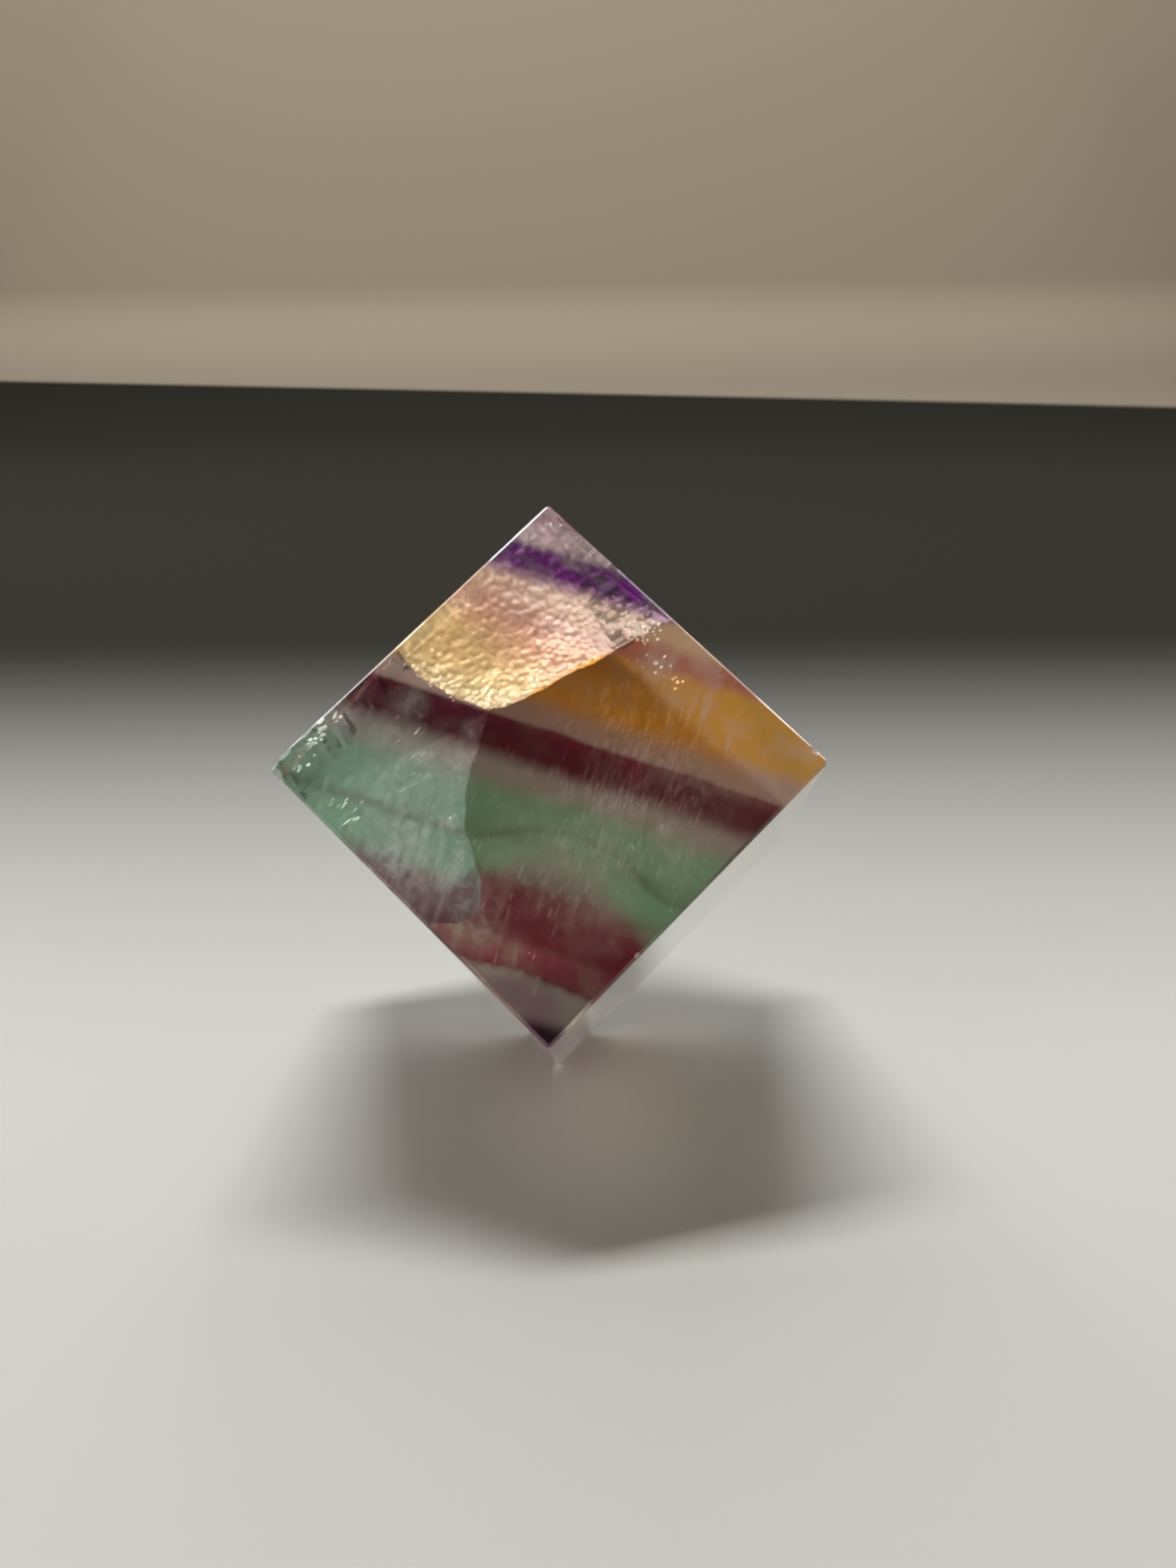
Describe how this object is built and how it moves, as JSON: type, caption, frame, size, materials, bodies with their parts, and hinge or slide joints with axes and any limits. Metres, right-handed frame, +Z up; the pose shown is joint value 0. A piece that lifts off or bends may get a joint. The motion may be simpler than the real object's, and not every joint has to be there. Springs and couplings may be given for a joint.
{
  "type": "fluorite cube",
  "caption": "Polished banded fluorite cube that stands on one corner, which is cut off flat as its foot.",
  "frame": {"origin": "middle of the flat foot, on the surface that the cube stands on", "axes": "+Z up the cube's body diagonal from the foot to the top corner, -Y forwards, the way that the front face leans, +X to the right as that face is seen"},
  "size_m": [0.0504, 0.0582, 0.0591],
  "materials": {
    "fluorite": "clear polished fluorite in planar bands of violet, golden yellow, maroon and green, with inner fractures and small edge chips"
  },
  "bodies": {
    "root": {"fluorite_cube": "fluorite"}
  },
  "joints": []
}
